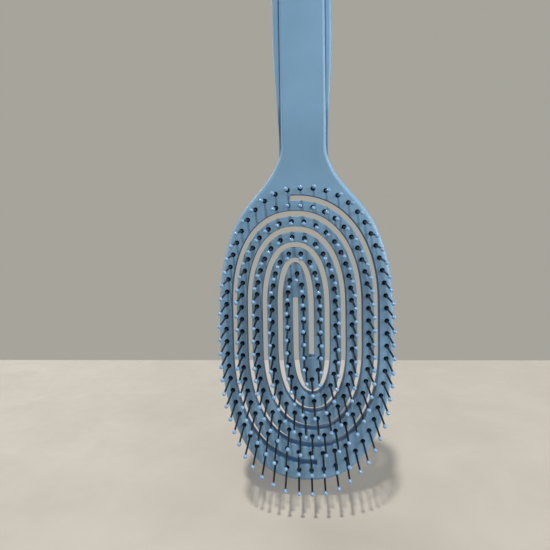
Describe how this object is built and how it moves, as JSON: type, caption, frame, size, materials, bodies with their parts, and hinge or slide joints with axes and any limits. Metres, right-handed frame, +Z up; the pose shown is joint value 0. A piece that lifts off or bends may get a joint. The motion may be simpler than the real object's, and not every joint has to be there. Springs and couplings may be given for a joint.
{
  "type": "paddle hair brush",
  "caption": "Flat oval vented hair brush: spiral slots through the head, rows of ball-tipped pins between them, and a broad grip with a hang hole.",
  "frame": {"origin": "centre of the hang hole, on the plane where the two shells meet", "axes": "+Z up the handle, away from the head; the pins point along -Y and the back of the brush faces +Y"},
  "size_m": [0.0776, 0.0278, 0.2454],
  "materials": {
    "blue_plastic": "satin moulded plastic, light dusty blue",
    "black_nylon": "near-black nylon",
    "ball_tip": "glossy light-blue epoxy balls"
  },
  "bodies": {
    "root": {"front_shell": "blue_plastic", "back_shell": "blue_plastic", "rim_strip": "black_nylon", "spiral_strip": "black_nylon", "rim_pins": "black_nylon", "arm_a_turn_1_pins": "black_nylon", "arm_a_turn_2_pins": "black_nylon", "arm_a_turn_3_pins": "black_nylon", "arm_a_turn_4_pins": "black_nylon", "arm_a_turn_5_pins": "black_nylon", "arm_b_turn_1_pins": "black_nylon", "arm_b_turn_2_pins": "black_nylon", "arm_b_turn_3_pins": "black_nylon", "arm_b_turn_4_pins": "black_nylon", "arm_b_turn_5_pins": "black_nylon", "rim_tips": "ball_tip", "arm_a_turn_1_tips": "ball_tip", "arm_a_turn_2_tips": "ball_tip", "arm_a_turn_3_tips": "ball_tip", "arm_a_turn_4_tips": "ball_tip", "arm_a_turn_5_tips": "ball_tip", "arm_b_turn_1_tips": "ball_tip", "arm_b_turn_2_tips": "ball_tip", "arm_b_turn_3_tips": "ball_tip", "arm_b_turn_4_tips": "ball_tip", "arm_b_turn_5_tips": "ball_tip"}
  },
  "joints": []
}
